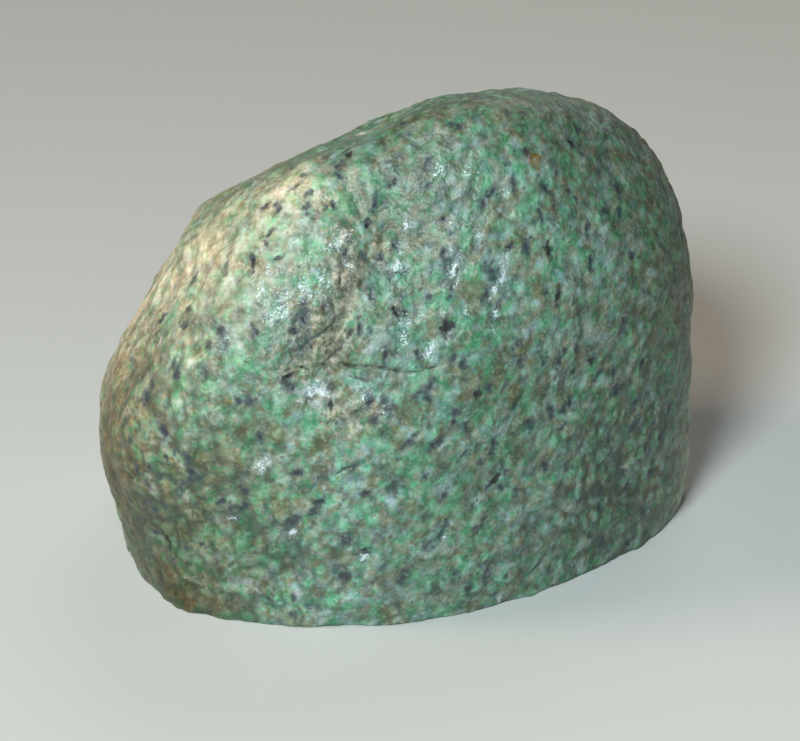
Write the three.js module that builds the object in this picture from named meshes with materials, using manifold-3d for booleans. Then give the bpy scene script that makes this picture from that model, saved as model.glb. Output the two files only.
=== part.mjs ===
// A water-worn boulder of vesuvianite, sawn flat underneath so that it stands.
// Millimetres, +Z up. The origin is the middle of the sawn base, +X runs to the boulder's right as it
// is shown and +Y to its back.
import * as THREE from "three";
import { ImprovedNoise } from "three/addons/math/ImprovedNoise.js";
import { mergeVertices } from "three/addons/utils/BufferGeometryUtils.js";
import Module from "manifold-3d";

const wasm = await Module();
wasm.setup();

// ---- driving dimensions ---------------------------------------------------------------------------
const HEART_HEIGHT = 66; // from the sawn base up to the point that every face below is measured from
const EDGE_SHARPNESS = 14; // how tightly the worn faces meet: 4 is an egg, 30 is a cut block
const MESH_DETAIL = 22; // rows of triangles along each edge of the starting icosahedron
const SAW_CUT = 300; // width of the block of waste that the saw takes off below the base

// The flats that rolling in a river has left. Each looks out along a direction, turned anticlockwise
// from +X and raised above the horizontal, in degrees, and lies "out" millimetres from the heart.
const WORN_FACES = [
  { side: "right end", turn: 355, rise: 4.5, out: 100.2 },
  { side: "right heel", turn: 335, rise: -16, out: 106.5 },
  { side: "right shoulder", turn: 12, rise: 40, out: 117 },
  { side: "crown", turn: 90, rise: 71, out: 87.5 },
  { side: "left slope", turn: 143, rise: 58, out: 72 },
  { side: "left shoulder", turn: 169, rise: 31, out: 82.5 },
  { side: "left end", turn: 185, rise: -2, out: 102.5 },
  { side: "left heel", turn: 204, rise: -24, out: 121 },
  { side: "front left", turn: 228, rise: -8, out: 109 },
  { side: "left hump", turn: 218, rise: 36, out: 91 },
  { side: "front", turn: 260, rise: -4, out: 83 },
  { side: "front slope", turn: 272, rise: 29, out: 80 },
  { side: "front middle", turn: 288, rise: 0, out: 73 },
  { side: "front right", turn: 309, rise: 0, out: 73.5 },
  { side: "right slope", turn: 322, rise: 30, out: 92 },
  { side: "top right", turn: 20, rise: 62, out: 106.5 },
  { side: "back", turn: 92, rise: 2, out: 76 },
  { side: "back slope", turn: 88, rise: 40, out: 88 },
  { side: "back left", turn: 140, rise: 6, out: 86 },
  { side: "back right", turn: 40, rise: 6, out: 96 },
  { side: "under", turn: 0, rise: -90, out: 120 },
];

// Hollows and swells across those flats. Each follows the surface from one direction to another, given
// as a turn and a rise, fades out over "spread" degrees, and sinks in by "depth" or stands out by "height".
const HOLLOWS = [
  { what: "saddle between hump and crown", from: [113, 72], to: [264, 50], spread: 9, depth: 4 },
  { what: "fall behind the hump", from: [140, 62], to: [150, 66], spread: 9, depth: 1 },
  { what: "valley beside the hump", from: [267, 45], to: [247, 27], spread: 7, depth: 1.8 },
  { what: "weathered hollow", from: [262, 22], to: [255, 12], spread: 9, depth: 1.4 },
  { what: "ledge under the hollow", from: [270, 17], to: [254, 17], spread: 3, depth: 0.7 },
  { what: "dip below the left shoulder", from: [183, 16], to: [204, 12], spread: 9, depth: 1.6 },
  { what: "runnel down the right slope", from: [330, 40], to: [322, 8], spread: 8, depth: 1.2 },
  { what: "front chip in the sawn rim", from: [254, -41], to: [258, -41], spread: 2.2, depth: 1 },
  { what: "middle chip in the sawn rim", from: [278, -42], to: [281, -42], spread: 2.2, depth: 1.2 },
  { what: "left chip in the sawn rim", from: [214, -33], to: [216, -33], spread: 2.2, depth: 1 },
];
const SWELLS = [
  { what: "hump", from: [236, 36], to: [244, 38], spread: 13, height: 2.2 },
  { what: "upper left corner", from: [190, 39], to: [200, 41], spread: 6, height: 2 },
  { what: "brow of the crown", from: [285, 66], to: [318, 60], spread: 14, height: 1.6 },
  { what: "knob on the left end", from: [192, -8], to: [196, -14], spread: 8, height: 2.4 },
  { what: "foot of the left end", from: [222, -34], to: [243, -38], spread: 8, height: 3.6 },
];

// The uneven surface on top: each layer's lumps are "span" across and stand up to "height" out or in.
const UNEVENNESS = [
  { span: 44, height: 1.5 },
  { span: 19, height: 0.9 },
  { span: 9, height: 0.8 },
];

// The larger pits: "span" is how far apart they lie, and a "cover" nearer 0 gives more and wider ones.
const PITS = { span: 13, cover: 0.2, depth: 3.4 };

// ---- shape ----------------------------------------------------------------------------------------
const radians = THREE.MathUtils.degToRad;

// The unit vector that a turn and a rise, both in degrees, point along.
function facing(turn, rise) {
  return new THREE.Vector3(
    Math.cos(radians(rise)) * Math.cos(radians(turn)),
    Math.cos(radians(rise)) * Math.sin(radians(turn)),
    Math.sin(radians(rise)),
  );
}

const faces = WORN_FACES.map(({ turn, rise, out }) => ({ normal: facing(turn, rise), out }));

// How far from the heart the worn faces, blended into each other, lie along a direction.
function wornRadius(direction) {
  let sum = 0;
  for (const { normal, out } of faces) {
    sum += Math.max(0, normal.dot(direction) / out) ** EDGE_SHARPNESS;
  }
  return sum ** (-1 / EDGE_SHARPNESS);
}

// A hollow or a swell as a line between two directions and how far it moves the surface outwards.
function reliefAlong({ from, to, spread, height = 0, depth = 0 }) {
  const course = new THREE.Line3(facing(...from), facing(...to));
  return { course, spread: radians(spread), outwards: height - depth };
}

const reliefs = [...HOLLOWS, ...SWELLS].map(reliefAlong);
const nearest = new THREE.Vector3();

// How far the hollows and swells together move the surface outwards along a direction.
function reliefOut(direction) {
  let sum = 0;
  for (const { course, spread, outwards } of reliefs) {
    course.closestPointToPoint(direction, true, nearest);
    sum += outwards * Math.exp(-((direction.angleTo(nearest) / spread) ** 2));
  }
  return sum;
}

const noise = new ImprovedNoise();

function noiseAt(point, span) {
  return noise.noise(point.x / span, point.y / span, point.z / span);
}

// How far the uneven, pitted surface stands out at a point measured from the heart.
function unevenOut(point) {
  let sum = -PITS.depth * Math.max(0, noiseAt(point, PITS.span) - PITS.cover);
  for (const { span, height } of UNEVENNESS) {
    sum += height * noiseAt(point, span);
  }
  return sum;
}

function boulderGeometry() {
  const ball = new THREE.IcosahedronGeometry(1, MESH_DETAIL);
  const place = ball.getAttribute("position");
  const direction = new THREE.Vector3();
  const point = new THREE.Vector3();
  for (let i = 0; i < place.count; i++) {
    direction.fromBufferAttribute(place, i).normalize();
    point.copy(direction).multiplyScalar(wornRadius(direction) + reliefOut(direction));
    point.addScaledVector(direction, unevenOut(point));
    place.setXYZ(i, point.x, point.y, point.z + HEART_HEIGHT);
  }
  return ball;
}

function solidFrom(geometry) {
  const bare = geometry.clone();
  bare.deleteAttribute("normal");
  bare.deleteAttribute("uv");
  const welded = mergeVertices(bare, 1e-3);
  return new wasm.Manifold(
    new wasm.Mesh({
      numProp: 3,
      vertProperties: welded.getAttribute("position").array,
      triVerts: new Uint32Array(welded.index.array),
    }),
  );
}

function geometryFrom(solid) {
  const { vertProperties, triVerts } = solid.getMesh();
  return new THREE.BufferGeometry()
    .setAttribute("position", new THREE.BufferAttribute(vertProperties, 3))
    .setIndex(new THREE.BufferAttribute(triVerts, 1));
}

const waste = new THREE.BoxGeometry(SAW_CUT, SAW_CUT, SAW_CUT).translate(0, 0, -SAW_CUT / 2);
const stone = geometryFrom(solidFrom(boulderGeometry()).subtract(solidFrom(waste)));
stone.computeBoundingBox();
const middle = stone.boundingBox.getCenter(new THREE.Vector3());
stone.translate(-middle.x, -middle.y, 0);

// ---- scene graph ----------------------------------------------------------------------------------
const boulder = new THREE.Group();
const mesh = new THREE.Mesh(stone, new THREE.MeshStandardMaterial({ color: 0x7c9478, roughness: 0.35 }));
mesh.name = "boulder";
boulder.add(mesh);

export default boulder;
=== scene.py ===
# A water-worn boulder of green vesuvianite, sawn flat underneath so that it stands.
# The solid gives its form. This script gives it the dented skin, the dark specks and the mottled finish,
# with light and shade painted into parts of its colour.
# Metres throughout, +Z up, with the sawn base on Z = 0.
import math
import random

import bmesh
import bpy
from mathutils import Matrix, Vector, bvhtree, kdtree, noise


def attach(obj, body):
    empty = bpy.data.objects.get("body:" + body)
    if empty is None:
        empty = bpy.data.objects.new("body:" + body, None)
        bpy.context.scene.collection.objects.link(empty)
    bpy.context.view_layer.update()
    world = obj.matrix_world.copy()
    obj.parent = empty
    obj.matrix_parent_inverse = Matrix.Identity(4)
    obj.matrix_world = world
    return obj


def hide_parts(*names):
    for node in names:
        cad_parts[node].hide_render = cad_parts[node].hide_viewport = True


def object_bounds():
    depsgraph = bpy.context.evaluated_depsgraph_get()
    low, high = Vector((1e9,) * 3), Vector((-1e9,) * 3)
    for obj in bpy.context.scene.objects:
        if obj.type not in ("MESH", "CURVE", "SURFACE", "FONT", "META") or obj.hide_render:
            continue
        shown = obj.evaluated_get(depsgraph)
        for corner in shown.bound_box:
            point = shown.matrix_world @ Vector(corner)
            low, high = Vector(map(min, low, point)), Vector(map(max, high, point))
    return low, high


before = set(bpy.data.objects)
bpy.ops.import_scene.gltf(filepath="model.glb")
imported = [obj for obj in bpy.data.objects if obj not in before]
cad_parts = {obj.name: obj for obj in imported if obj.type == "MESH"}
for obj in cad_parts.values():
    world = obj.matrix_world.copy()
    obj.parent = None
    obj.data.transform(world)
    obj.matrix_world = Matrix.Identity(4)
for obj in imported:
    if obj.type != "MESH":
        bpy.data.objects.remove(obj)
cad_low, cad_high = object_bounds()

MM = 0.001

# ---- the view -------------------------------------------------------------------------------------
VIEW_WIDTH = 800  # pixels
VIEW_HEIGHT = 741
SENSOR_WIDTH = 36 * MM
LENS = 108 * MM
EYE = Vector((-0.0011, -0.7309, 0.427))  # where the stone is seen from
LOOK_DOWN = math.radians(27)


def sight_line(across, down):
    """Where the line of sight through a pixel of the view starts, and which way it runs."""
    pixel = SENSOR_WIDTH / VIEW_WIDTH
    sight = Vector(((across - VIEW_WIDTH / 2) * pixel, (VIEW_HEIGHT / 2 - down) * pixel, -LENS))
    return EYE, (Matrix.Rotation(math.pi / 2 - LOOK_DOWN, 3, "X") @ sight).normalized()


# ---- the boulder's surface ------------------------------------------------------------------------
WELD = 0.01 * MM  # corners nearer than this are one corner
FINER = 3  # cuts across each edge of the solid's triangles
SOFTENING = 6  # rounds of smoothing that take out the solid's facets
RIM_EASE = 0.7 * MM  # width of the worn edge round the sawn face
RIM_LIFT = 0.5 * MM  # and its height
RAGGED = 0.4  # how far the outline of a mark wanders, as a share of its size
RAGGED_SPAN = 1.7 * MM  # how wide one such turn of the outline is

# The way that the grain of the stone runs, and how much longer its dents and crystals are that way.
GRAIN_WAY = Vector((0.32, 0.3, 0.9)).normalized()
GRAIN_STRETCH = 1.12
CRYSTAL_STRETCH = 1.1

# Layers of unevenness: how wide their dents are, and how far these stand in or out. The broken layers are
# laid over the others where the stone is weathered.
UNEVENNESS = [(11 * MM, 0.5 * MM), (5.2 * MM, 0.34 * MM), (2.8 * MM, 0.2 * MM)]
BROKEN = [(3.6 * MM, 0.9 * MM), (1.9 * MM, 0.6 * MM)]
BROKEN_GAIN = 1.5  # how soon the broken layers reach their full depth inside a weathered place
LAYER_SHIFT = 9000  # draws each layer from another part of the noise

# Worn grains with creases between them.
GRAIN_WIDTH = 6 * MM
GRAIN_HEIGHT = 0.46 * MM
CREASE_SOFTNESS = 0.16  # at 0 a crease is a sharp V
CREASE_TOP = 0.25  # how far up a grain, as a share of its height, the painted shade of the crease reaches
GRAIN_LEVEL = 0.4  # how far up a grain the surface of the solid lies
CREVICED = 0.9  # how much further the grains stand up, as a share, where the stone is creviced
HIGH_SPAN = 2 * MM  # from the lowest places of the skin to the highest

# Small pits all over the skin.
PIT_SEED = 7
PIT_COUNT = 2600
PIT_LENGTH = (2.5 * MM, 7 * MM)
PIT_SLIMNESS = (0.45, 0.9)  # their width, as a share of their length
PIT_DEPTH = (0.15 * MM, 0.6 * MM)
PIT_EDGE = 1.25  # how far out the slope of a sunk mark ends, where 1 is the mark's outline

# ---- the marks ------------------------------------------------------------------------------------
# Those on the side that is shown are listed one by one. Each is pixels across and down the view, the length
# and the width in millimetres, and the lean of its long side, in degrees from upright to the right.
SHOWN_MARKS = {
    "black": [
        (277, 258, 4, 1, 70), (389, 185, 1.7, 1.5, 0), (394, 182, 1.8, 1.2, 0), (368, 220, 1.7, 1.5, 0),
        (367, 226, 1.7, 1.4, 0), (559, 296, 7.5, 1.9, 12), (572, 143, 3, 2.2, -40), (592, 361, 3, 2.6, 0),
        (642, 363, 5, 2.2, 20), (477, 394, 2.6, 2.4, 0), (495, 479, 3.4, 2.3, 35), (453, 422, 2.6, 2, 0),
        (168, 543, 5, 1.5, -10), (509, 248, 3, 1.8, 60), (349, 154, 2.4, 1.8, 40),
        (448, 329, 5.5, 3.4, 15), (285, 377, 3, 0.9, 70), (364, 551, 3.4, 2.2, 60), (252, 264, 2.6, 2, 0),
        (565, 107, 3, 1.9, 0), (550, 250, 5.6, 2.3, -5), (396, 312, 3.4, 2, -30), (405, 313, 2.6, 2, 0),
        (331, 407, 3.4, 1.1, 0),
    ],
    "slate": [
        (252, 257, 3.4, 3.2, 0), (265, 206, 2.2, 1.8, 20), (278, 208, 3.4, 2, -20),
        (297, 185, 4, 1.3, 25), (308, 193, 2.2, 2, 0), (307, 207, 3.6, 1.8, 5), (334, 206, 2.6, 1.6, 15),
        (338, 164, 2.2, 1.7, 0), (340, 175, 3.4, 1.8, -25), (270, 233, 2.8, 1.2, 30),
        (267, 243, 2, 1.3, 0), (402, 122, 2.6, 1.5, 50), (450, 124, 2.6, 1.6, 80),
        (459, 126, 2.8, 1.8, 80), (428, 163, 3.2, 1.6, 5), (429, 185, 2.2, 1.6, 0),
        (375, 204, 4.4, 1.8, 0), (443, 220, 3.6, 1.2, 70), (494, 191, 3, 2.2, 30), (484, 201, 3.4, 2, 20),
        (489, 196, 3, 1.2, 50), (578, 130, 2.6, 1.6, 70), (527, 152, 2, 1.5, 0),
        (580, 152, 2.4, 1.9, -40), (514, 184, 3.8, 1.5, 0), (569, 190, 2.2, 1.9, 0),
        (546, 187, 3.8, 1.5, -20), (618, 190, 3.6, 2.2, 0), (577, 200, 2, 1.8, 0),
        (541, 214, 4.6, 1.5, 5), (606, 211, 3.2, 2.2, 40), (620, 214, 5.6, 1.4, 20),
        (588, 226, 5.4, 1.8, 8), (591, 263, 4.6, 1.8, 10), (632, 255, 3, 1.6, 0), (624, 322, 3, 2.6, 0),
        (622, 333, 3.6, 1.6, 20), (577, 348, 3.4, 2.2, 0), (575, 372, 2.8, 2.1, -35),
        (617, 390, 2.6, 2.2, 60), (598, 376, 3.4, 1.3, 40), (614, 371, 3.4, 1.3, 5),
        (571, 403, 3, 1.8, 20), (564, 409, 3, 1.4, 50), (552, 410, 3.6, 3, 0), (564, 427, 3, 1.9, 40),
        (637, 403, 3, 2.2, 30), (627, 414, 2.6, 2.2, 0), (636, 425, 3.8, 2.4, 30), (671, 408, 3.4, 2, 25),
        (654, 425, 3, 2, 0), (608, 441, 3.2, 1.3, 0), (661, 438, 3, 1.9, 0), (648, 447, 4.4, 1.9, 0),
        (650, 473, 3.8, 2.4, 10), (623, 472, 2.2, 2, 0), (602, 465, 3.8, 1.3, 30), (602, 489, 2.4, 2, 0),
        (628, 486, 4.4, 1.5, 12), (601, 508, 3.8, 1.8, 10), (643, 512, 3, 2.3, 0), (627, 543, 2.4, 2, 0),
        (602, 543, 3, 1.9, 10), (590, 537, 2.4, 2, 0), (416, 397, 2.4, 1.5, 20), (430, 386, 4.6, 2, 30),
        (428, 398, 3, 1.9, 0), (455, 413, 3.2, 1.9, 70), (466, 428, 3.6, 2, 5), (490, 388, 2.4, 1.9, 0),
        (516, 407, 2, 1.5, 0), (530, 423, 3.2, 2.6, 50), (411, 441, 8.5, 1.9, 45),
        (436, 444, 6.6, 1.9, 45), (494, 445, 4.6, 1.6, 10), (481, 463, 1.7, 1.5, 0),
        (488, 487, 3, 1.8, 40), (502, 487, 2, 1.8, 0), (506, 470, 3, 1.9, 10), (545, 464, 3.2, 2.3, 0),
        (517, 490, 2.4, 2, 0), (425, 477, 2.4, 1.9, 0), (444, 496, 2, 1.6, 70), (464, 456, 3, 1.3, 40),
        (396, 486, 4, 2.6, 0), (443, 531, 6.2, 1.7, 28), (427, 546, 3, 2.6, 0), (477, 527, 3, 1.6, 80),
        (482, 519, 2.4, 1.5, 10), (403, 577, 5, 2.8, 0), (456, 575, 3, 1.9, 0), (486, 577, 5.4, 1.9, 8),
        (485, 563, 3.2, 1.2, 40), (506, 575, 1.7, 1.6, 0), (469, 591, 3.2, 1.7, 5),
        (495, 594, 2.6, 1.5, 50), (320, 502, 3.2, 2.3, 10), (314, 512, 2.8, 2.3, 0),
        (291, 525, 5, 2.7, 20), (244, 505, 3, 2.2, 60), (345, 542, 3.2, 2.6, 30), (344, 576, 3.8, 2.6, 0),
        (309, 607, 3.2, 1.6, 80), (294, 597, 3, 1.4, 0), (366, 494, 2.4, 2, 60), (394, 489, 3.2, 2.6, 20),
        (286, 383, 3.6, 3.2, 0), (294, 388, 3.2, 1.2, 0), (249, 402, 3.2, 2.4, 60), (260, 438, 4, 1.7, 0),
        (369, 397, 6, 2, 0), (388, 406, 5.8, 2.1, -20), (375, 421, 2.4, 2.2, 0), (246, 492, 2.8, 1.9, 0),
        (297, 473, 3.2, 1.7, 80), (146, 397, 3.8, 2, 5), (163, 431, 5, 2.2, -35), (149, 466, 2.2, 1.8, 0),
        (160, 478, 2, 1.9, 0), (190, 473, 5, 1.9, -5), (200, 479, 1.8, 1.6, 0), (148, 484, 3.8, 1.8, -40),
        (181, 491, 4.6, 1.2, 10), (156, 510, 3.8, 2.4, 0), (221, 501, 2.4, 1.9, 70),
        (236, 508, 3.8, 2.6, 70), (144, 537, 2.6, 1.6, 0), (155, 531, 2.2, 2.2, 0),
        (240, 401, 2.2, 1.9, 0), (162, 318, 4.4, 1.6, 0), (184, 326, 2.6, 2, 0), (220, 334, 6, 2.4, -20),
        (209, 346, 2.4, 2.4, 0), (173, 362, 3.4, 1.2, 15), (175, 374, 3, 2.8, 0),
        (151, 384, 2.6, 1.6, 10), (302, 318, 3.6, 3, 0), (303, 303, 3.2, 1.3, -5),
        (293, 330, 2.6, 1.7, 70), (256, 333, 2.4, 1.8, 0), (252, 325, 1.2, 1.2, 0),
        (447, 268, 6.8, 2.2, 8), (444, 252, 3.2, 1.8, 10), (452, 290, 3.8, 1.3, 25),
        (492, 272, 7, 2.5, -18), (487, 294, 4.2, 1.4, 30), (527, 248, 5, 2.2, 5),
        (498, 305, 3.6, 1.2, 25), (491, 316, 2.6, 1.2, 10), (390, 277, 3.2, 1.8, 0), (395, 243, 3, 2, 0),
        (402, 273, 2, 1.6, 0), (372, 293, 4.4, 1.6, 5), (360, 328, 3.6, 1.3, 0), (370, 331, 2, 1.4, 0),
        (362, 255, 2.4, 1.8, -40), (345, 252, 2.2, 1.8, 0), (380, 257, 2, 2, 0), (386, 355, 5.6, 1.4, 10),
        (402, 335, 3.6, 1.6, 20), (428, 297, 1.8, 1.6, 0), (418, 354, 2, 1.4, -30),
        (455, 358, 2.8, 2, 10), (463, 365, 2.8, 1.8, 10), (517, 345, 4.6, 1.8, 30), (521, 363, 3, 1.8, 0),
        (545, 362, 3.6, 1.7, 20), (545, 292, 1.9, 1.7, 0), (565, 351, 3, 1.5, 0), (560, 360, 4, 1.3, 5),
        (138, 520, 2.6, 1, -15), (150, 548, 3.2, 1, -15), (142, 528, 2.4, 1, -10), (148, 558, 3, 1, -20),
        (174, 455, 2, 1.2, 0), (188, 458, 2.2, 1.2, -20), (186, 547, 2, 1.2, 0), (202, 543, 2, 1.2, 0),
        (237, 519, 2, 1.4, 60), (166, 457, 2, 1.2, -20), (131, 500, 2.4, 1, -15), (137, 470, 2.6, 1, -10),
        (129, 440, 2.4, 1, -5), (172, 560, 3, 1.2, -20),
    ],
    "faint": [
        (251, 184, 2.6, 1.8, 60), (225, 267, 4.4, 2.2, -20), (216, 214, 2.4, 2, 50), (275, 203, 2, 1, 0),
        (303, 175, 1.6, 1.4, 0), (325, 208, 2, 1.4, 0), (331, 219, 1.4, 1.2, 0), (249, 273, 2.2, 1.8, 0),
        (413, 144, 1.8, 1.2, 0), (482, 134, 2.2, 2, 0), (396, 156, 2.6, 2, 90), (438, 193, 2, 1.5, 0),
        (397, 201, 1.2, 1.1, 0), (450, 143, 3.2, 2.4, 0), (508, 114, 2.2, 2, 0), (524, 112, 2.6, 2, -45),
        (509, 163, 2, 1.8, 0), (600, 173, 2, 1.2, 0), (617, 122, 1.7, 1.6, 0), (582, 108, 3, 1.2, -50),
        (660, 243, 3, 1.9, 0), (655, 232, 3.6, 1.4, -30), (604, 283, 3, 1.7, 20), (634, 283, 2.6, 1.6, 0),
        (580, 312, 3, 2.2, 0), (660, 300, 3.6, 2.4, 0), (588, 335, 0.9, 0.9, 0), (575, 301, 2, 1.4, 0),
        (568, 448, 3.6, 2.4, 0), (568, 466, 3.4, 1.6, 0), (584, 480, 2, 1.4, 0), (653, 463, 2.4, 1.6, 0),
        (580, 498, 3.4, 1.3, 35), (634, 526, 2.6, 1.6, 0), (595, 554, 2, 1.5, 0), (563, 531, 3, 1.5, 45),
        (553, 547, 2.6, 1.7, 30), (560, 484, 2.2, 1.6, 0), (676, 504, 2, 1.6, 0), (478, 446, 2.4, 1.6, 0),
        (425, 517, 2.6, 1.9, 0), (470, 583, 5, 2.4, 5), (436, 587, 3.2, 2, 0), (550, 570, 2.6, 2.4, 0),
        (291, 548, 1.6, 1.2, 0), (304, 573, 3.4, 3, 0), (265, 551, 3.6, 1.9, 80), (340, 505, 3, 1.6, 20),
        (296, 617, 3, 2, -30), (338, 592, 2.2, 1.8, 60), (332, 386, 3, 2, 0), (337, 424, 1.9, 1.4, -40),
        (325, 475, 3.6, 2.6, 30), (350, 468, 3.4, 1.1, 75), (383, 435, 1.6, 1.3, 0),
        (125, 420, 2, 1.6, 0), (176, 447, 3.4, 1.2, -40), (165, 507, 3, 2, 0), (195, 505, 3.4, 1.7, -30),
        (165, 334, 2.4, 1.5, 0), (188, 309, 2.6, 1.6, 0), (192, 281, 3, 2, -20), (228, 345, 1.6, 1.6, 0),
        (204, 377, 5, 1.6, 0), (200, 365, 2, 1.5, 0), (237, 313, 2.8, 1.7, 10), (124, 355, 1.8, 1.6, 0),
        (156, 332, 1.8, 1.3, 60), (308, 328, 1.8, 1.3, 0), (170, 478, 2.6, 1, 0),
        (485, 245, 2.6, 1.6, -30), (457, 252, 3.4, 1.8, -10), (583, 286, 3, 2.2, 0), (300, 345, 7, 4, 60),
        (395, 355, 3, 2, 0), (150, 505, 4, 2, -30),
    ],
    "green": [
        (312, 423, 8, 6.5, 0), (277, 413, 8.5, 4, 5), (310, 252, 8, 4, 0), (318, 283, 7, 4, 20),
        (350, 211, 4, 3.4, 0), (272, 222, 5, 3.4, 20), (327, 226, 5, 2.6, 20), (341, 197, 4, 2.6, 10),
        (294, 175, 5, 3.6, 0), (292, 200, 5, 3, 70), (234, 360, 9, 4.4, 70), (180, 383, 5, 4, 0),
        (205, 384, 5, 2.6, 20), (414, 460, 9, 7, 10), (466, 234, 8, 4, 5), (470, 275, 5, 3, 0),
        (470, 323, 6, 4, 60), (497, 335, 6, 2.8, 10), (476, 341, 3.4, 3, 0), (478, 414, 8, 6, 10),
        (508, 495, 6, 4.6, 20), (483, 535, 6, 4, 40), (466, 532, 5, 3.6, 0), (546, 319, 6, 5, 0),
        (490, 365, 8, 3.6, 5), (418, 375, 5, 4, 20), (443, 382, 4, 3, 0), (440, 300, 6, 3, 50),
        (562, 246, 7, 4.4, 0), (581, 300, 4, 3, 0), (612, 410, 8, 4, 5), (595, 445, 8, 6, 15),
        (577, 467, 6, 4, 10), (625, 340, 5, 4, 50), (657, 437, 5, 2.4, 0), (570, 553, 6, 4, 20),
        (560, 440, 5, 3, 30), (605, 520, 7, 4, 20), (584, 520, 6, 2.6, 10), (566, 535, 6, 3, 10),
        (522, 430, 4, 3, 0), (525, 405, 6, 4, 0), (455, 500, 6, 4, 40), (432, 508, 5, 4, 20),
        (500, 582, 6, 3.6, 10), (485, 555, 5, 3.4, 0), (415, 575, 4, 3.4, 0), (410, 612, 5, 3, 70),
        (445, 612, 8, 3, 60), (330, 600, 7, 4, 10), (285, 597, 5, 4, 0), (307, 585, 5, 2.6, 30),
        (350, 605, 5, 3, 60), (385, 421, 4, 2.6, 0), (380, 450, 3.6, 3, 0), (350, 430, 4, 2.6, 60),
        (345, 525, 4, 3, 0), (330, 502, 5, 3, 60), (262, 490, 6, 4.4, 0), (245, 520, 6, 4.4, 20),
        (240, 545, 7, 5, 30), (215, 530, 5, 3.4, -30), (180, 552, 5, 3.4, 0), (217, 470, 4, 3, 0),
        (200, 445, 5, 4, 0), (247, 418, 5, 3.4, 0), (250, 440, 5, 3, 60), (175, 408, 4, 3, 0),
        (157, 401, 3.6, 2.4, 0), (135, 450, 6, 2.6, -30), (405, 282, 4, 3, 20), (418, 270, 5, 3, 10),
        (417, 294, 4, 3, 0), (408, 302, 4, 2.4, 0), (350, 325, 5, 3, 20), (380, 283, 5, 3, 0),
        (380, 297, 4, 3, 0), (370, 325, 4, 2.4, 10), (400, 342, 4, 3, 40), (352, 355, 3, 2, 0),
        (455, 318, 5, 3, 20), (395, 192, 5, 3, 40), (380, 200, 4, 3, 0), (413, 155, 4, 2.4, 0),
        (430, 125, 4, 3, 0), (460, 120, 4, 3, 60), (395, 140, 5, 3, 0), (440, 175, 5, 2.6, 20),
        (487, 182, 4, 3, 0), (520, 170, 6, 4, 10), (505, 140, 5, 3.6, 30), (535, 198, 6, 4, 10),
        (565, 162, 5, 4, 0), (530, 110, 6, 2.4, -40), (600, 133, 4, 2, -30), (618, 145, 4, 3, 0),
        (500, 225, 3.4, 3, 10), (600, 145, 4, 2, -40), (575, 240, 5, 3, 0), (635, 290, 5, 3, 10),
        (637, 263, 4, 2.6, 0), (655, 225, 5, 3.4, 60), (625, 213, 4, 3.4, 0), (600, 268, 4, 3, 30),
    ],
    "olive": [
        (475, 290, 6, 4.4, 0), (475, 308, 5, 3.4, 60), (520, 263, 5, 3, 60), (430, 325, 6, 3, 0),
        (515, 395, 5, 5, 0), (500, 370, 5, 3.6, 10), (300, 505, 9, 5, 70), (175, 470, 6, 3, 5),
        (155, 440, 7, 3, -20), (150, 410, 5, 4, 0), (520, 240, 6, 4, 30), (410, 505, 5, 4, 0),
        (390, 615, 5, 4, 0), (345, 560, 6, 4, 70), (225, 605, 6, 4, 60), (575, 530, 6, 3, 0),
        (540, 312, 3, 1.6, 60), (440, 240, 6, 3, 10), (370, 480, 6, 4, 10), (275, 435, 7, 5, 60),
        (505, 350, 6, 3, 10), (240, 430, 5, 3, 60), (200, 350, 7, 4, 30), (485, 240, 3, 2, 0),
        (440, 112, 11, 6, 80), (474, 104, 10, 5, 80), (415, 118, 9, 5, 70), (455, 132, 8, 4, 60),
        (500, 112, 9, 5, 80), (395, 128, 7, 4, 60), (200, 465, 8, 6, -20), (225, 455, 8, 5, 0),
        (165, 500, 8, 6, -20), (195, 515, 8, 6, 0), (215, 480, 6, 4, 30), (180, 530, 7, 5, 0),
        (352, 432, 8, 5, 20), (323, 441, 8, 6, 0), (408, 412, 9, 6, 0), (369, 428, 5, 4, 0),
        (398, 437, 7, 5, 0), (340, 366, 6, 4, 60),
    ],
    # pale grains, and painted glints on the ridges and beside the dark specks
    "pale_and_glint": [
        (310, 390, 6, 4, 60), (323, 393, 4, 3, 20), (262, 466, 7, 4.4, 40), (268, 460, 4, 3, 0),
        (282, 480, 5, 3, 80), (355, 148, 4, 3, 40), (500, 597, 2.4, 2.4, 30), (296, 593, 3, 2, 0),
        (325, 613, 4, 1.6, 70), (478, 500, 4, 3, 60), (505, 256, 6, 3, 60), (419, 438, 3, 1.3, 60),
        (443, 446, 4, 1.3, 50), (641, 421, 4, 2, 50), (649, 513, 2, 2, 0), (582, 507, 3, 2.2, 30),
        (503, 272, 6, 2.2, 15), (453, 270, 5, 1.5, 15), (456, 284, 3.6, 1.1, 20), (495, 290, 4, 1.5, 35),
        (495, 311, 4, 1.8, 15), (406, 228, 6, 0.9, 5), (397, 262, 4, 1, 20), (450, 250, 5, 1.8, 10),
        (160, 435, 2.6, 1.3, -50), (292, 533, 3, 1.8, 30), (364, 558, 3, 1.3, 60), (445, 536, 3, 1.3, 30),
        (427, 556, 3, 2, 80), (421, 545, 1.6, 1.6, 0), (350, 549, 2.2, 1.4, 30), (552, 544, 2.4, 1.6, 50),
        (360, 428, 1.8, 1.8, 0), (316, 404, 3, 2, 0), (500, 478, 2.6, 1.1, 20), (505, 490, 2, 1.1, 40),
        (190, 364, 2.6, 2.4, 0), (169, 363, 3.6, 1.4, 5), (159, 341, 2.8, 2, 0), (228, 519, 3.4, 1.3, 80),
        (193, 515, 4.4, 1.4, -40), (152, 488, 4, 3, -20), (187, 497, 4, 3, 0), (177, 403, 3.6, 2.4, 60),
        (430, 350, 5, 2.6, 40), (405, 320, 4, 3, 0), (375, 345, 8, 3, 60), (195, 580, 8, 1.6, -65),
        (240, 583, 9, 3, 80), (607, 557, 3, 1.6, 40), (580, 567, 5, 3, 50), (444, 195, 2.6, 0.7, 0),
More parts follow.
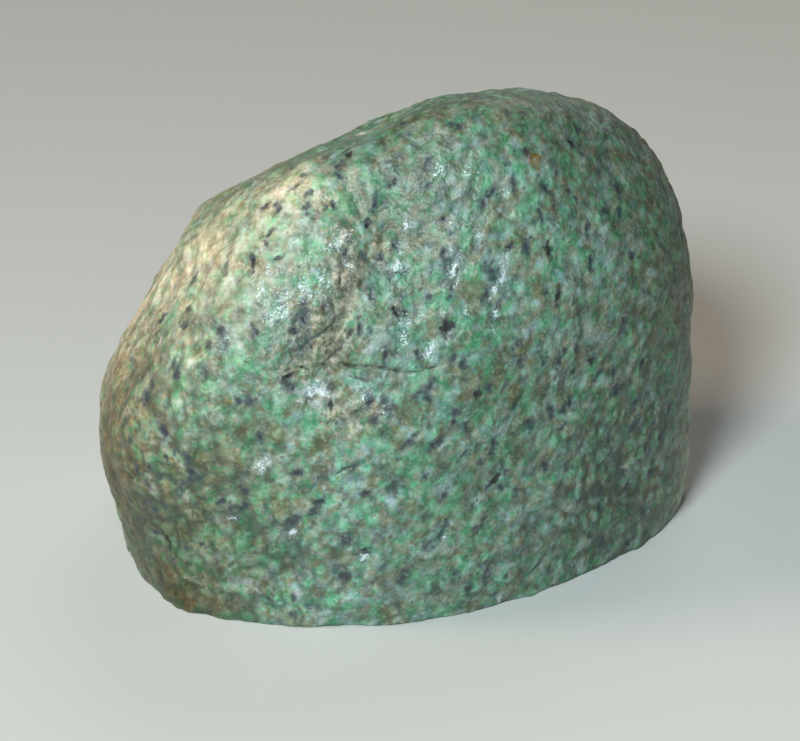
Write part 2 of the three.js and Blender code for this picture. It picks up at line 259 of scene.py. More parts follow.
        (455, 216, 2.6, 0.9, 0),
    ],
    "rust": [(533, 158, 6, 4, 0), (230, 403, 1.4, 1.2, 0), (172, 460, 3, 1.6, 0)],
    "weathered": [
        (348, 280, 24, 9, 5), (325, 318, 16, 12, 50), (325, 350, 22, 12, 60), (380, 250, 8, 7, 0),
        (345, 412, 13, 11, 30), (290, 375, 9, 5, 60), (320, 395, 12, 6, 60), (378, 410, 7, 5, 0),
    ],
    # painted light over the upper left, where the stone is also paler
    "lit_and_bleached": [
        (146, 301, 100, 58, 18), (196, 253, 68, 42, 42), (284, 187, 34, 18, 62), (122, 354, 40, 24, 5),
    ],
    # a brown stain towards the lower left, darkened further by painted shade
    "stain_and_shade": [(113, 476, 104, 43, -6), (175, 592, 50, 34, -50)],
    "tan": [(185, 470, 60, 44, -10), (388, 122, 40, 16, 65)],
    # painted shade on the crown, down the right side and at the lower left
    "painted_shade": [
        (480, 104, 26, 60, 0), (568, 116, 46, 66, 0), (240, 485, 40, 30, 0), (512, 110, 34, 50, 0),
        (430, 150, 40, 40, 0), (664, 320, 130, 46, 0), (640, 500, 50, 40, 0),
    ],
    "creviced": [(160, 490, 110, 54, -8), (250, 560, 60, 60, 0), (600, 480, 70, 50, 0)],
    # painted light
    "painted_light": [(335, 472, 50, 36, 0), (320, 602, 50, 16, 80), (560, 225, 56, 36, 0)],
    # polished places: a smoother, bumpier skin with a painted sheen and more painted glints
    "glitter": [
        (266, 284, 10, 7, 20), (280, 306, 11, 8, 30), (262, 300, 7, 4, 0), (316, 290, 11, 8, 10),
        (300, 286, 6, 5, 0), (338, 241, 10, 6, 70), (320, 252, 6, 4, 0), (226, 341, 6, 4, 20),
        (243, 300, 6, 4, 0), (366, 400, 7, 5, 20), (383, 407, 7, 4, 10), (309, 394, 9, 5, 60),
        (405, 228, 9, 2.4, 8), (399, 262, 9, 2.6, 10), (396, 282, 5, 2.4, 0), (454, 271, 10, 3, 12),
        (452, 216, 5, 2, 20), (474, 227, 5, 3.4, 0), (504, 272, 10, 4.4, 18), (494, 292, 7, 3, 35),
        (495, 311, 8, 3, 15), (493, 326, 5, 2.4, 0), (465, 313, 7, 4, 60), (445, 327, 6, 4, 0),
        (407, 318, 6, 4, 60), (404, 338, 5, 3, 0), (557, 382, 6, 1.8, 20), (505, 185, 6, 3, 20),
        (440, 170, 6, 3, 20), (470, 170, 5, 3, 60), (350, 265, 6, 4, 0), (285, 395, 6, 4, 60),
        (264, 465, 6, 4, 30), (228, 519, 5, 2, 80), (445, 537, 5, 2, 30), (203, 411, 4, 2, 0),
        (292, 534, 5, 3, 30), (425, 548, 4, 3, 60), (364, 558, 5, 2.4, 60), (500, 597, 5, 4, 30),
        (322, 392, 6, 4, 20), (430, 352, 6, 3, 40),
    ],
}

# The same kinds over the side that is turned away: how many, and the range of lengths and widths.
HIDDEN_SEED = 12
HIDDEN_TRIES = 3  # places tried for each mark, because a good part of them lies on the side that is shown
HIDDEN_LEAN = (25, 25)  # the middle and the spread of their leans, and the pits', in degrees
HIDDEN_MARKS = {
    "black": (36, (1.6, 6), (1, 2.6)),
    "slate": (260, (2, 6.5), (1.2, 2.6)),
    "faint": (150, (1.4, 5), (1, 2.4)),
    "green": (190, (4, 9), (2.6, 6)),
    "olive": (45, (5, 9), (3, 5)),
    # pale grains and painted glints
    "pale_and_glint": (90, (1.8, 7), (1, 3)),
    "rust": (4, (2, 5), (1.2, 2.6)),
    "weathered": (5, (9, 22), (6, 11)),
    # painted light, over paler stone
    "lit_and_bleached": (4, (60, 110), (40, 70)),
    # a brown stain, darkened further by painted shade
    "stain_and_shade": (3, (50, 100), (30, 60)),
    "tan": (3, (40, 60), (30, 44)),
    # painted shade
    "painted_shade": (3, (50, 100), (40, 80)),
    "creviced": (4, (60, 110), (40, 60)),
    # painted light
    "painted_light": (3, (50, 60), (16, 44)),
    "glitter": (60, (4, 11), (2, 7)),
}
MARK_DEPTH = {"black": 0.5 * MM, "slate": 0.35 * MM, "faint": 0.12 * MM}  # the other kinds aren't sunk
SPREAD = {"black": 1.1, "slate": 1.35, "faint": 1.3}  # how much larger these kinds are made than listed
MARKS_CUT_FINER = ("black", "slate", "faint", "rust", "weathered")
CUT_REACH = 0.55  # how far from its middle a mark's skin is cut finer, as a share of its length
LEVEL_FACING = 0.99  # a place that faces up or down more than this is level, and its marks lean from +Y

# Cracks, steps and worn ridges on the side that is shown: where each runs, in pixels, its half width and
# how far it sinks in (or, below nought, stands out).
CRACKS = [
    # a step below the weathered hollow: its dark line is painted shadow
    (
        [(340, 363), (352, 367), (372, 366), (384, 368), (404, 373), (420, 372), (437, 367)],
        0.6 * MM, 0.9 * MM,
    ),
    ([(300, 350), (311, 339), (325, 331), (338, 318)], 0.7 * MM, 0.7 * MM),
    ([(318, 372), (329, 358), (343, 346), (352, 331)], 0.7 * MM, 0.6 * MM),
    ([(331, 300), (335, 315), (332, 329)], 0.7 * MM, 0.6 * MM),
    ([(286, 371), (296, 366), (311, 369)], 0.7 * MM, 0.6 * MM),
    ([(328, 479), (345, 469), (359, 466)], 0.7 * MM, 0.4 * MM),
    ([(350, 376), (358, 378), (366, 381)], 0.8 * MM, 0.3 * MM),
    ([(392, 250), (384, 254), (378, 259)], 0.9 * MM, 0.3 * MM),
    ([(341, 268), (340, 280), (339, 298)], 0.7 * MM, 0.3 * MM),
    ([(183, 577), (196, 580), (210, 588), (236, 590), (262, 594)], 1.6 * MM, -0.9 * MM),
]
CRACK_STEP = 1.5  # pixels from one point along a crack to the next
CRACK_REACH = 2  # how many half widths to each side a crack can change the skin
CRACK_MEAN = 0.8  # how deep a crack is on average, as a share: it deepens and fades along its course
CRACK_SPAN = 2 * RAGGED_SPAN  # how long one such change is


class Mark:
    """An oval on the surface, with a ragged outline. Pits, crystals of other colours, stains, painted
    glints and zones of painted light and shade are all such marks.
    """

    def __init__(self, centre, out, length, width, lean):
        level = abs(out.z) >= LEVEL_FACING
        upright = Vector((0, 1, 0)) if level else (Vector((0, 0, 1)) - out * out.z).normalized()
        self.centre = centre
        self.out = out
        self.along = Matrix.Rotation(-math.radians(lean), 3, out) @ upright
        self.across = self.along.cross(out)
        self.length = length
        self.width = width

    def reach(self, point):
        """0 at the middle of the oval, 1 on its edge and more outside it."""
        offset = point - self.centre
        along = offset.dot(self.along) / self.length
        across = offset.dot(self.across) / self.width
        deep = offset.dot(self.out) / self.width
        wander = 1 + RAGGED * noise.noise(point / RAGGED_SPAN)
        return math.sqrt(along ** 2 + across ** 2 + deep ** 2) * 2 * wander


def bowl(reach):
    """How deep a sunk mark is at that reach: 1 in the middle, easing out to 0 a little outside the edge."""
    return max(0.0, 1 - (reach / PIT_EDGE) ** 2) ** 2


def skin_of(node):
    """The solid's own surface, cut finer and softened, open where the saw went."""
    skin = bmesh.new()
    skin.from_mesh(node.data)
    bmesh.ops.remove_doubles(skin, verts=skin.verts, dist=WELD)
    sawn = [face for face in skin.faces if max(corner.co.z for corner in face.verts) < WELD]
    bmesh.ops.delete(skin, geom=sawn, context="FACES")
    bmesh.ops.subdivide_edges(skin, edges=skin.edges, cuts=FINER, use_grid_fill=True)
    inside = [corner for corner in skin.verts if not corner.is_boundary]
    for _ in range(SOFTENING):
        bmesh.ops.smooth_vert(
            skin, verts=inside, factor=0.5, use_axis_x=True, use_axis_y=True, use_axis_z=True
        )
    skin.normal_update()
    return skin


def corner_finder(skin):
    """A tree that finds the corners of the skin near a point."""
    corners = kdtree.KDTree(len(skin.verts))
    for corner in skin.verts:
        corners.insert(corner.co, corner.index)
    corners.balance()
    return corners


def shown_marks(surface):
    """The marks listed for the side that is shown, each where its line of sight meets the surface."""
    marks = {}
    for kind, places in SHOWN_MARKS.items():
        marks[kind] = []
        for across, down, length, width, lean in places:
            centre, out, _, _ = surface.ray_cast(*sight_line(across, down))
            wide = SPREAD.get(kind, 1) * MM
            marks[kind].append(Mark(centre, out, length * wide, width * wide, lean))
    return marks


def scattered_places(skin, count, dice):
    """Points spread evenly over the surface, each with the way that it faces."""
    faces = list(skin.faces)
    sizes = [face.calc_area() for face in faces]
    for face in dice.choices(faces, weights=sizes, k=count):
        yield face.calc_center_median(), face.normal.copy()


def add_hidden_marks(skin, marks):
    """The same kinds of mark, scattered over the side that is turned away."""
    dice = random.Random(HIDDEN_SEED)
    for kind, (count, lengths, widths) in HIDDEN_MARKS.items():
        tries = scattered_places(skin, count * HIDDEN_TRIES, dice)
        away = [(centre, out) for centre, out in tries if (EYE - centre).dot(out) < 0]
        for centre, out in away[:count]:
            length = dice.triangular(lengths[0], lengths[1], lengths[0]) * MM
            width = min(length, dice.uniform(*widths) * MM)
            wide = SPREAD.get(kind, 1)
            marks[kind].append(Mark(centre, out, length * wide, width * wide, dice.gauss(*HIDDEN_LEAN)))


def scattered_pits(skin):
    """The small pits, each with its depth."""
    dice = random.Random(PIT_SEED)
    for centre, out in scattered_places(skin, PIT_COUNT, dice):
        length = dice.triangular(PIT_LENGTH[0], PIT_LENGTH[1], PIT_LENGTH[0])
        width = length * dice.uniform(*PIT_SLIMNESS)
        yield Mark(centre, out, length, width, dice.gauss(*HIDDEN_LEAN)), dice.uniform(*PIT_DEPTH)


def points_along(surface, course):
    """Points on the surface close to each other all along a course given in pixels."""
    for (left, top), (right, bottom) in zip(course, course[1:]):
        steps = math.ceil(math.hypot(right - left, bottom - top) / CRACK_STEP)
        for step in range(steps + 1):
            share = step / steps
            across = left + (right - left) * share
            down = top + (bottom - top) * share
            yield surface.ray_cast(*sight_line(across, down))[0]


def cut_finer(skin, surface, marks):
    """More corners where the small marks and the cracks are, so that their outlines are clean."""
    corners = corner_finder(skin)
    near = set()
    for kind in MARKS_CUT_FINER:
        for mark in marks[kind]:
            near.update(index for _, index, _ in corners.find_range(mark.centre, mark.length * CUT_REACH))
    for course, half_width, _ in CRACKS:
        for place in points_along(surface, course):
            near.update(index for _, index, _ in corners.find_range(place, half_width * CRACK_REACH))
    edges = [edge for edge in skin.edges if edge.verts[0].index in near and edge.verts[1].index in near]
    bmesh.ops.subdivide_edges(skin, edges=edges, cuts=1, use_grid_fill=True)
    skin.normal_update()
    skin.verts.index_update()


def along_grain(point):
    """A point in a stone that isn't drawn out along its grain."""
    return point + GRAIN_WAY * (point.dot(GRAIN_WAY) * (1 / GRAIN_STRETCH - 1))


def uneven(point, layers):
    """How far the dented surface stands out at a point."""
    grown = along_grain(point)
    return sum(
        height * noise.noise(grown / span + Vector((span, 0, 0)) * LAYER_SHIFT) for span, height in layers
    )


def rounded(point):
    """How far up a worn grain a point is, from 0 in a crease to about 1 on top of the grain."""
    ridge = math.hypot(noise.noise(along_grain(point) / GRAIN_WIDTH), CREASE_SOFTNESS)
    return 2 * (ridge - CREASE_SOFTNESS)


def carve(skin, surface, marks):
    """Dents, pits and cracks the skin, and returns how much of each kind of mark every corner has."""
    corners = corner_finder(skin)
    start = [corner.co.copy() for corner in skin.verts]
    sink = [0.0] * len(start)
    cover = {kind: [0.0] * len(start) for kind in [*marks, "crack", "high", "crease"]}
    for kind, group in marks.items():
        for mark in group:
            for point, index, _ in corners.find_range(mark.centre, mark.length):
                reach = mark.reach(point)
                cover[kind][index] = max(cover[kind][index], 1 - reach / 2)
                sink[index] = max(sink[index], MARK_DEPTH.get(kind, 0) * bowl(reach))
    for mark, depth in scattered_pits(skin):
        for point, index, _ in corners.find_range(mark.centre, mark.length):
            sink[index] = max(sink[index], depth * bowl(mark.reach(point)))
    for course, half_width, depth in CRACKS:
        groove = {}
        for place in points_along(surface, course):
            broken = CRACK_MEAN + noise.noise(place / CRACK_SPAN)
            for _, index, distance in corners.find_range(place, half_width * CRACK_REACH):
                groove[index] = max(groove.get(index, 0), bowl(distance / half_width) * broken)
        for index, share in groove.items():
            sink[index] += depth * share
            cover["crack"][index] = max(cover["crack"][index], share if depth > 0 else 0)
    cover["hollow"] = [depth / PIT_DEPTH[1] for depth in sink]
    for corner in skin.verts:
        out = corner.normal.copy()
        if corner.is_boundary:
            out.z = 0
        point = start[corner.index]
        weathered = min(1, cover["weathered"][corner.index] * BROKEN_GAIN)
        grain = rounded(point)
        standing = GRAIN_HEIGHT * (1 + CREVICED * cover["creviced"][corner.index])
        rise = uneven(point, UNEVENNESS) + weathered * uneven(point, BROKEN)
        rise += standing * (grain - GRAIN_LEVEL)
        cover["high"][corner.index] = 0.5 + rise / HIGH_SPAN
        cover["crease"][corner.index] = 1 - min(1, grain / CREASE_TOP)
        corner.co = point + out.normalized() * (rise - sink[corner.index])
        if not corner.is_boundary:
            corner.co.z = max(corner.co.z, RIM_LIFT)
    return cover


def close_sawn_face(skin):
    """The flat underneath, with a narrow worn edge round it."""
    rim = [edge for edge in skin.edges if edge.is_boundary]
    worn = bmesh.ops.extrude_edge_only(skin, edges=rim)["geom"]
    for corner in {corner for edge in rim for corner in edge.verts}:
        corner.co.z = RIM_LIFT
    for corner in [part for part in worn if isinstance(part, bmesh.types.BMVert)]:
        out = corner.co.xy.normalized() * RIM_EASE
        corner.co = (corner.co.x - out.x, corner.co.y - out.y, 0)
    ring = [part for part in worn if isinstance(part, bmesh.types.BMEdge)]
    flat = bmesh.ops.contextual_create(skin, geom=ring)["faces"]
    sawn = bmesh.ops.poke(skin, faces=flat)["faces"]
    bmesh.ops.recalc_face_normals(skin, faces=skin.faces)
    return sawn


def boulder():
    """The whole stone: its skin from the solid, with every mark on it, and the flat sawn face."""
    skin = skin_of(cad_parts["boulder"])
    surface = bvhtree.BVHTree.FromBMesh(skin)
    marks = shown_marks(surface)
    add_hidden_marks(skin, marks)
    cut_finer(skin, surface, marks)
    cover = carve(skin, surface, marks)
    sawn = close_sawn_face(skin)
    for face in skin.faces:
        face.smooth = True
    for face in sawn:
        face.material_index = 1
        face.smooth = False
    mesh = bpy.data.meshes.new("vesuvianite_boulder")
    skin.to_mesh(mesh)
    for kind, values in cover.items():
        spare = [0.0] * (len(mesh.vertices) - len(values))
        mesh.attributes.new(kind, "FLOAT", "POINT").data.foreach_set("value", values + spare)
    skin.free()
    piece = bpy.data.objects.new("vesuvianite_boulder", mesh)
    bpy.context.scene.collection.objects.link(piece)
    return piece


# ---- finishes -------------------------------------------------------------------------------------
def paint(code):
    """The light values of a colour written as six hexadecimal digits, by the sRGB curve."""
    parts = [int(code[i:i + 2], 16) / 255 for i in (0, 2, 4)]
    return [p / 12.92 if p <= 0.04045 else ((p + 0.055) / 1.055) ** 2.4 for p in parts] + [1]


class Level:
    """A number that varies over the surface. Arithmetic on it adds Math nodes."""

    def __init__(self, finish, socket):
        self.finish = finish
        self.socket = socket

    def __add__(self, other):
        return self.finish.sum("ADD", self, other)

    def __sub__(self, other):
        return self.finish.sum("SUBTRACT", self, other)

    def __rsub__(self, other):
        return self.finish.sum("SUBTRACT", other, self)

    def __mul__(self, other):
        return self.finish.sum("MULTIPLY", self, other)

    __radd__ = __add__
    __rmul__ = __mul__

    def above(self, edge, softness):
        """0 below the edge and 1 above it, over a soft step of that width."""
        step = self.finish.node(
            "MapRange",
            {"interpolation_type": "SMOOTHSTEP"},
            {"Value": self, "From Min": edge - softness / 2, "From Max": edge + softness / 2},
        )
        return Level(self.finish, step.outputs["Result"])


class Finish:
    """A material in the making."""

    def __init__(self, name):
        self.material = bpy.data.materials.new(name)
        self.material.use_nodes = True
        self.tree = self.material.node_tree
        self.tree.nodes.clear()
        self.place = self.node("TexCoord").outputs["Object"]

    def node(self, kind, settings=None, inputs=None):
        """Adds a node: its settings first, and then a value or a link for each socket named."""
        made = self.tree.nodes.new("ShaderNode" + kind)
        for name, value in (settings or {}).items():
            setattr(made, name, value)
        for name, value in (inputs or {}).items():
            value = value.socket if isinstance(value, Level) else value
            if isinstance(value, bpy.types.NodeSocket):
                self.tree.links.new(value, made.inputs[name])
            else:
                made.inputs[name].default_value = value
        return made

    def sum(self, operation, first, second):
        made = self.node("Math", {"operation": operation}, {0: first, 1: second})
        return Level(self, made.outputs[0])

    def attribute(self, name):
        return Level(self, self.node("Attribute", {"attribute_name": name}).outputs["Fac"])

    def mottle(self, span, draw, detail, place=None):
        """Soft patches about span metres across, from 0 to 1. Each draw gives other patches."""
        made = self.node(
            "TexNoise",
            {"noise_dimensions": "4D"},
            {"Vector": place or self.place, "W": draw, "Scale": 1 / span, "Detail": detail},
        )
        return Level(self, made.outputs["Fac"])

    def along_grain(self, swirl_span, swirl):
        """The place on the surface, drawn out along the grain of the stone and stirred a little."""
        stir = self.node("TexNoise", None, {"Vector": self.place, "Scale": 1 / swirl_span, "Detail": 2})
        stirred = self.node(
            "VectorMath",
            {"operation": "MULTIPLY_ADD"},
            {0: stir.outputs["Color"], 1: (swirl, swirl, swirl), 2: self.place},
        )
        turn = GRAIN_WAY.to_track_quat("Z", "Y").to_euler()
        drawn = self.node(
            "Mapping",
            {"vector_type": "TEXTURE"},
            {"Vector": stirred.outputs[0], "Rotation": turn, "Scale": (1, 1, CRYSTAL_STRETCH)},
        )
        return drawn.outputs[0]

    def blend(self, share, under, over):
        """One colour laid over another, by share."""
        made = self.node("Mix", {"data_type": "RGBA"}, {0: share, 6: under, 7: over})
        return made.outputs[2]

    def tint(self, share, under, tint):
        """A colour multiplied by red, green and blue shares, which may be above 1."""
        made = self.node(
            "Mix", {"data_type": "RGBA", "blend_type": "MULTIPLY"}, {0: share, 6: under, 7: (*tint, 1)}
        )
        return made.outputs[2]

    def shade(self, under, level, edge, softness, strength, code, within=None):
        """A colour laid over another where a level is above an edge, inside a share if one is given."""
        share = level.above(edge, softness)
        if within is not None:
            share = within * share
        return self.blend(share * strength, under, paint(code))

    def bump(self, height, distance, strength=1.0, over=None):
        inputs = {"Height": height, "Distance": distance, "Strength": strength}
        if over is not None:
            inputs["Normal"] = over
        return self.node("Bump", None, inputs).outputs["Normal"]

    def close(self, colour, roughness, normal, **settings):
        """The surface shader that ends the material."""
        inputs = {"Base Color": colour, "Roughness": roughness, "Normal": normal, **settings}
        shader = self.node("BsdfPrincipled", None, inputs)
        self.node("OutputMaterial", None, {"Surface": shader.outputs[0]})
        return self.material


BETWEEN = "4c685a"  # the colour between the patches of mineral

# Patches of mineral, each laid over those before it: how wide the patches are, the noise that they are
# drawn from, the level where they begin, how soft their edges are, how strong they are and their colour.
PATCHES = [
    (9 * MM, 11, 0.5, 0.24, 1, "7c947e"),
    (14 * MM, 19, 0.5, 0.2, 0.5, "3f8a64"),
    (7 * MM, 23, 0.51, 0.18, 0.9, "737047"),
    (6 * MM, 12, 0.53, 0.18, 0.9, "379466"),
    (5 * MM, 34, 0.56, 0.18, 0.7, "848c84"),
    (4.2 * MM, 45, 0.57, 0.18, 0.7, "8eb2b4"),
    (4 * MM, 56, 0.56, 0.18, 0.6, "384a48"),
    (3 * MM, 67, 0.57, 0.18, 0.66, "4ca878"),
    (3 * MM, 78, 0.57, 0.18, 0.65, "76714a"),
]
SWIRL_SPAN = 3 * MM  # how wide the swirls are that stir the grain of the stone
SWIRL = 0.8 * MM  # and how far they stir it

# How the marks are painted: how soft their outline is, how strong they are and their colour.
MARK_EDGE = 0.48  # how much of a mark a place has where the painted outline is
MARK_PAINTS = {
    "green": (0.6, 0.8, "469f6e"),
    "olive": (0.6, 0.75, "626230"),
    "weathered": (0.8, 0.6, "8c7a58"),
    "rust": (0.4, 1, "76600f"),
    "pale_and_glint": (0.6, 0.45, "b8c8c8"),
    "faint": (0.6, 0.7, "3f4b4b"),
    "slate": (0.8, 0.8, "3c4652"),
    "black": (0.6, 0.95, "24272c"),
}

# Shades of the skin and of the sawn face, some of them painted shade: the level where each begins, how soft
# its edge is, how strong it is and its colour.
SHADES = {
    "weathered crust": (0.55, 0.16, 0.65, "cfc4ac"),
    # painted shade in the gaps between the weathered grains
    "weathered_gap_shade": (0.55, 0.12, 0.7, "3c3220"),
    "light clouds": (0.55, 0.3, 0.24, "bcd2c8"),
    "dark clouds": (0.55, 0.3, 0.38, "2c3830"),
    "pale powder": (0.58, 0.2, 0.2, "cfdacb"),
    # painted shade, darker the deeper the pit
    "pit_shade": (0.6, 0.8, 0.25, "46544a"),
    # painted shade where the skin lies low
    "low_place_shade": (0.7, 0.5, 0.35, "2e3a34"),
    # dark cracks, and painted shadow along the step
    "crack_and_ledge_shadow": (0.55, 0.5, 0.7, "2c3028"),
    "slate hearts": (0.85, 0.7, 0.65, "20242c"),
    "sawn specks": (0.64, 0.06, 0.85, "353c42"),
}

# The mottling of the skin and of the sawn face: how wide its patches are, the noise that they are drawn
# from and how much fine detail they have.
MOTTLING = {
    "outlines": (1.8 * MM, 2, 3),
    "clouds": (3.4 * MM, 3, 4),
    "powder": (1.4 * MM, 4, 2),
    "grit": (1.1 * MM, 5, 3),
    "glints": (0.8 * MM, 6, 3),
    "dents": (2.4 * MM, 9, 3),
    "bleaching": (6 * MM, 89, 2),
    "polish_and_sheen": (4.5 * MM, 92, 2),
    "crust": (2.2 * MM, 93, 3),
    "gaps": (2.8 * MM, 94, 3),
    "light patches": (24 * MM, 101, 2),
    "dark patches": (10 * MM, 103, 2),
    "sawn grit": (1.2 * MM, 3, 3),
    "sawn specks": (3.2 * MM, 90, 2),
}

# What changes every colour under it, patches first and then zones, some of which are painted light and
# shade: the shares of red, green and blue.
PATCH_TINTS = {"light patches": (1.12, 1.09, 1.13), "dark patches": (0.84, 0.87, 0.86)}
PATCH_EDGE = (0.5, 0.3)  # the level where such a patch begins, and how soft its edge is
ZONE_TINTS = {
    # painted light, over paler stone
    "lit_and_bleached": (2.8, 2.14, 2.12),
    # a brown stain, darkened further by painted shade
    "stain_and_shade": (0.37, 0.2, 0.05),
    "tan": (1.38, 1.22, 1.08),
    # painted shade
    "painted_shade": (0.7, 0.665, 0.61),
    # painted light
    "painted_light": (1.45, 1.42, 1.5),
}

WANDER = 1.9  # how far the painted outline of a mark wanders from its carved one
BLEACHED = "9c9c7c"
BLEACHED_EDGE = (0.48, 0.2)  # the level where a bleached patch begins, and how soft its edge is
BLEACHED_LEAST = 0.25  # how bleached the zone of painted light is between its bleached patches
BLEACHED_MORE = 0.5  # and how much more it is in them
CREASE_SHADE = "2e3a34"
CREASE_DARK = 0.18  # how dark the painted shade in a crease is
CREVICE_DARK = 0.55  # and how much darker where the stone is creviced

# Polished patches, whose colour carries a painted bluish sheen, and painted glints over the whole skin.
# Each colour comes with its strength.
POLISHED_SHEEN = (0.14, "b8d2d4")
POLISHED_EDGE = (0.47, 0.3)  # the level where a polished patch begins, and how soft its edge is
POLISH_STRENGTH = 1.15  # how polished it is
GLINT = (0.78, "e4f2fa")
GLINT_EDGE = 0.76  # the level where glints begin on plain stone
GLINT_SOFTNESS = 0.16
PALE_GLINTS = 0.1  # how much lower that level is on pale grains and painted glints
POLISHED_GLINTS = 0.25  # and where the stone is polished

# The dents and the grit that catch the light: how deep they are, how strong they are on plain stone and how
# much stronger elsewhere.
DENT_DEPTH = 1.8 * MM
DENT_STRENGTH = 0.5
POLISHED_DENTS = 0.5
GRIT_DEPTH = 0.7 * MM
GRIT_STRENGTH = 0.07
WEATHERED_GRIT = 0.9
POLISHED_GRIT = 0.3
WORN_ROUGHNESS = 0.45
GLINT_SMOOTHER = 0.2  # how much less rough a glint is
POLISH_SMOOTHER = 0.22  # and a polished patch
WORN_IOR = 1.53

# The sawn face.
BLOOM = (0.35, "9aa594")  # how strong the pale bloom on it is, and its colour
SAW_SCALE = 0.3 / MM  # how close together the saw's marks lie
SAW_WANDER = 1.5  # how far they bend
SAW_DEPTH = 0.05 * MM
SAWN_GRIT_DEPTH = 0.08 * MM
SAWN_ROUGHNESS = (0.5, 0.2)  # at the least, and how much more on its grit


def stone_colour(finish, grown):
    """The mottled colour of the stone, inside and out."""
    colour = paint(BETWEEN)
    for span, draw, *shade in PATCHES:
        colour = finish.shade(colour, finish.mottle(span, draw, 2, grown), *shade)
    return colour


def worn_vesuvianite():
    finish = Finish("worn_vesuvianite")
    grown = finish.along_grain(SWIRL_SPAN, SWIRL)
    wander = (finish.mottle(*MOTTLING["outlines"]) - 0.5) * WANDER
    marks = {
        kind: (finish.attribute(kind) + wander).above(MARK_EDGE, softness)
        for kind, (softness, _, _) in MARK_PAINTS.items()
    }

    def marked(under, kind):
        _, strength, code = MARK_PAINTS[kind]
        return finish.blend(marks[kind] * strength, under, paint(code))

    def shaded(under, name, level, within=None):
        return finish.shade(under, level, *SHADES[name], within)

    colour = stone_colour(finish, grown)
    colour = marked(colour, "green")
    colour = marked(colour, "olive")
    # Where the light is painted on the upper left, the stone also has its own paler, bleached patches.
    bleached = finish.mottle(*MOTTLING["bleaching"], grown).above(*BLEACHED_EDGE)
    bleached = bleached * BLEACHED_MORE + BLEACHED_LEAST
    colour = finish.blend(finish.attribute("lit_and_bleached") * bleached, colour, paint(BLEACHED))
    weathered = marks["weathered"]
    colour = marked(colour, "weathered")
    colour = shaded(colour, "weathered crust", finish.mottle(*MOTTLING["crust"]), weathered)
    # painted shade in the gaps between the weathered grains
    colour = shaded(colour, "weathered_gap_shade", finish.mottle(*MOTTLING["gaps"]), weathered)
    colour = marked(colour, "rust")
    clouds = finish.mottle(*MOTTLING["clouds"], grown)
    colour = shaded(colour, "light clouds", clouds)
    colour = shaded(colour, "dark clouds", 1 - clouds)
    colour = shaded(colour, "pale powder", finish.mottle(*MOTTLING["powder"]))
    # painted shade in the pits and round the sunk specks, by their depth
    colour = shaded(colour, "pit_shade", finish.attribute("hollow"))
    # painted shade where the skin lies low
    colour = shaded(colour, "low_place_shade", 1 - finish.attribute("high"))
    # painted shade in the creases between the worn grains
    crease_shade_share = finish.attribute("creviced") * CREVICE_DARK + CREASE_DARK
    colour = finish.blend(finish.attribute("crease") * crease_shade_share, colour, paint(CREASE_SHADE))
    # dark cracks, and painted shadow along the step
    colour = shaded(colour, "crack_and_ledge_shadow", finish.attribute("crack"))
    # pale grains and painted glints
    colour = marked(colour, "pale_and_glint")
    for name, tint in PATCH_TINTS.items():
        colour = finish.tint(finish.mottle(*MOTTLING[name], grown).above(*PATCH_EDGE), colour, tint)
    for zone, tint in ZONE_TINTS.items():
        colour = finish.tint(finish.attribute(zone), colour, tint)
    colour = marked(colour, "faint")
    colour = marked(colour, "slate")
    colour = shaded(colour, "slate hearts", finish.attribute("slate") + wander)
    colour = marked(colour, "black")

    polish_and_sheen = finish.attribute("glitter") * finish.mottle(*MOTTLING["polish_and_sheen"]).above(*POLISHED_EDGE)
    polish_and_sheen = polish_and_sheen * POLISH_STRENGTH
    glint_edge = GLINT_EDGE - marks["pale_and_glint"] * PALE_GLINTS - polish_and_sheen * POLISHED_GLINTS
    glints = finish.mottle(*MOTTLING["glints"]).above(glint_edge, GLINT_SOFTNESS)
    # the painted sheen on the polished patches, then the painted glints
    for level, (strength, code) in ((polish_and_sheen, POLISHED_SHEEN), (glints, GLINT)):
        colour = finish.blend(level * strength, colour, paint(code))
    dents = polish_and_sheen * POLISHED_DENTS + DENT_STRENGTH
    grit = weathered * WEATHERED_GRIT + polish_and_sheen * POLISHED_GRIT + GRIT_STRENGTH
    normal = finish.bump(finish.mottle(*MOTTLING["dents"]), DENT_DEPTH, dents)
    normal = finish.bump(finish.mottle(*MOTTLING["grit"]), GRIT_DEPTH, grit, over=normal)
    roughness = WORN_ROUGHNESS - glints * GLINT_SMOOTHER - polish_and_sheen * POLISH_SMOOTHER
    return finish.close(colour, roughness, normal, IOR=WORN_IOR)


def sawn_vesuvianite():
    finish = Finish("sawn_vesuvianite")
    grown = finish.along_grain(SWIRL_SPAN, SWIRL)
    bloom, code = BLOOM
    colour = finish.blend(bloom, stone_colour(finish, grown), paint(code))
    colour = finish.shade(colour, finish.mottle(*MOTTLING["sawn specks"], grown), *SHADES["sawn specks"])
    saw_marks = finish.node(
        "TexWave",
        {"bands_direction": "X"},
        {"Vector": finish.place, "Scale": SAW_SCALE, "Distortion": SAW_WANDER},
    )
    grit = finish.mottle(*MOTTLING["sawn grit"])
    normal = finish.bump(Level(finish, saw_marks.outputs["Fac"]), SAW_DEPTH)
    normal = finish.bump(grit, SAWN_GRIT_DEPTH, over=normal)
    least, more = SAWN_ROUGHNESS
    return finish.close(colour, grit * more + least, normal)


# ---- floor, lights and camera ---------------------------------------------------------------------
FLOOR_REACH = 40  # metres from the middle to each side of the floor
FLOOR_PAINT = "d2d3d1"
FLOOR_ROUGHNESS = 0.9
SKY = (0.92, 0.97, 1, 1)  # the colour of the weak light from all around
SKY_STRENGTH = 0.04


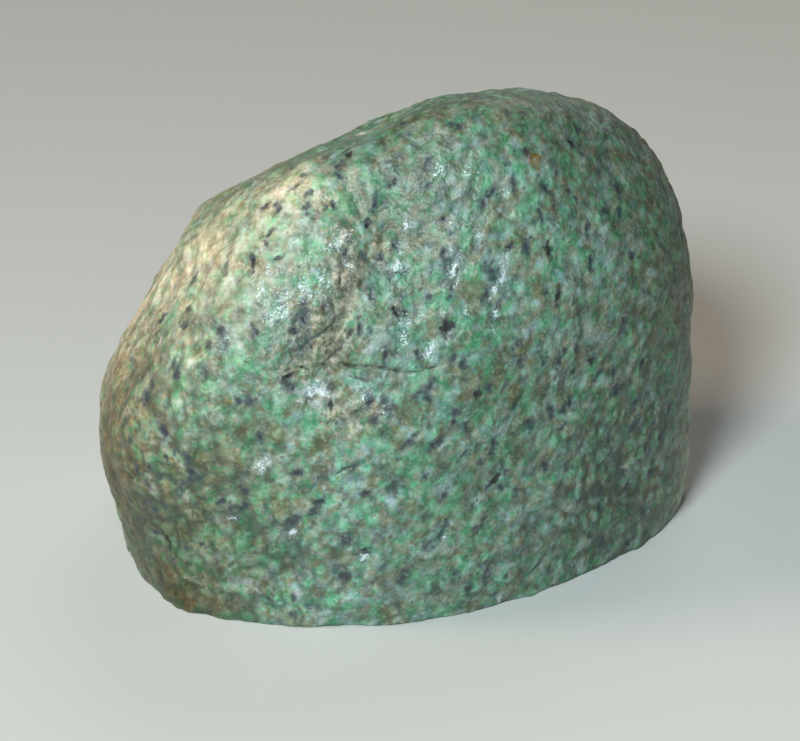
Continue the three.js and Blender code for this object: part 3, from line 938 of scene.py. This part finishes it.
def pale_floor():
    shape = bmesh.new()
    bmesh.ops.create_grid(shape, x_segments=1, y_segments=1, size=FLOOR_REACH)
    mesh = bpy.data.meshes.new("floor")
    shape.to_mesh(mesh)
    shape.free()
    floor = bpy.data.objects.new("floor", mesh)
    bpy.context.scene.collection.objects.link(floor)
    finish = Finish("pale_floor")
    inputs = {"Base Color": paint(FLOOR_PAINT), "Roughness": FLOOR_ROUGHNESS}
    shader = finish.node("BsdfPrincipled", None, inputs)
    finish.node("OutputMaterial", None, {"Surface": shader.outputs[0]})
    mesh.materials.append(finish.material)


def direction(turn, rise):
    """The way that a turn from +X and a rise above the horizontal point, both in degrees."""
    turned = math.radians(turn)
    raised = math.radians(rise)
    flat = math.cos(raised)
    return Vector((flat * math.cos(turned), flat * math.sin(turned), math.sin(raised)))


def add_light(light, way, colour, place=(0, 0, 0)):
    light.color = colour
    lamp = bpy.data.objects.new(light.name, light)
    lamp.location = place
    lamp.rotation_euler = way.to_track_quat("Z", "Y").to_euler()
    bpy.context.scene.collection.objects.link(lamp)


def key_light(aim, way, away, size, watts, colour):
    """A round soft lamp, some way off from the stone."""
    light = bpy.data.lights.new("key", "AREA")
    light.shape = "DISK"
    light.size = size
    light.energy = watts
    add_light(light, way, colour, aim + way * away)


def broad_light(name, way, strength, spread, colour):
    """A light from far off, as even over the whole floor as on the stone."""
    light = bpy.data.lights.new(name, "SUN")
    light.energy = strength
    light.angle = math.radians(spread)
    add_light(light, way, colour)


def studio_light(middle):
    key_light(middle, direction(250, 38), away=1.5, size=0.42, watts=22.3, colour=(0.885, 1, 1.02))
    broad_light("side", direction(184, 35), strength=0.98, spread=22, colour=(1.06, 0.84, 0.6))
    broad_light("back", direction(70, 36), strength=0.68, spread=50, colour=(1.02, 1, 0.98))
    world = bpy.data.worlds.new("studio")
    world.use_nodes = True
    world.node_tree.nodes["Background"].inputs["Color"].default_value = SKY
    world.node_tree.nodes["Background"].inputs["Strength"].default_value = SKY_STRENGTH
    bpy.context.scene.world = world


def camera():
    lens = bpy.data.cameras.new("camera")
    lens.sensor_width = SENSOR_WIDTH / MM
    lens.lens = LENS / MM
    made = bpy.data.objects.new("camera", lens)
    made.location = EYE
    made.rotation_euler = (math.pi / 2 - LOOK_DOWN, 0, 0)
    bpy.context.scene.collection.objects.link(made)
    bpy.context.scene.camera = made


stone = boulder()
stone.data.materials.append(worn_vesuvianite())
stone.data.materials.append(sawn_vesuvianite())
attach(stone, "root")
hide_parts("boulder")
pale_floor()
studio_light((cad_low + cad_high) / 2)
camera()
bpy.context.scene.view_settings.view_transform = "Standard"
